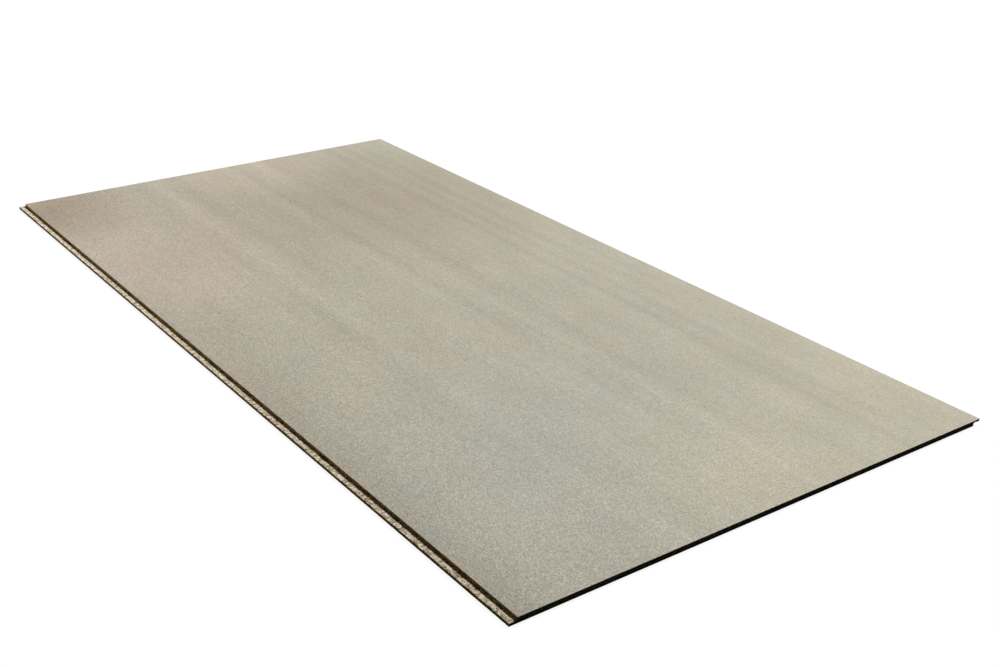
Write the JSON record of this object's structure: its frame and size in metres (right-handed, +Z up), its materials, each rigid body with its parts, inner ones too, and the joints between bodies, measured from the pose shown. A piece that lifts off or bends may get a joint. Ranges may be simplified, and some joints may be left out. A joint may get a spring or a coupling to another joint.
{
  "type": "tongue and groove chipboard",
  "caption": "Flat chipboard sheet with a low tongue along one long edge and a lapping lip over a rebate along the other, so that sheets laid side by side interlock.",
  "frame": {"origin": "middle of the underside, halfway between the tongue's tip and the lip's tip", "axes": "+X along the sheet's length, +Y towards the tongue's edge, +Z up from the underside to the face"},
  "size_m": [2.4, 1.218, 0.012],
  "materials": {
    "sanded_chipboard": "pressed wood particles, sanded matt and bare, grey-beige on the faces; machined edges show coarser straw-coloured chips"
  },
  "bodies": {
    "root": {"chipboard_sheet": "sanded_chipboard"}
  },
  "joints": []
}
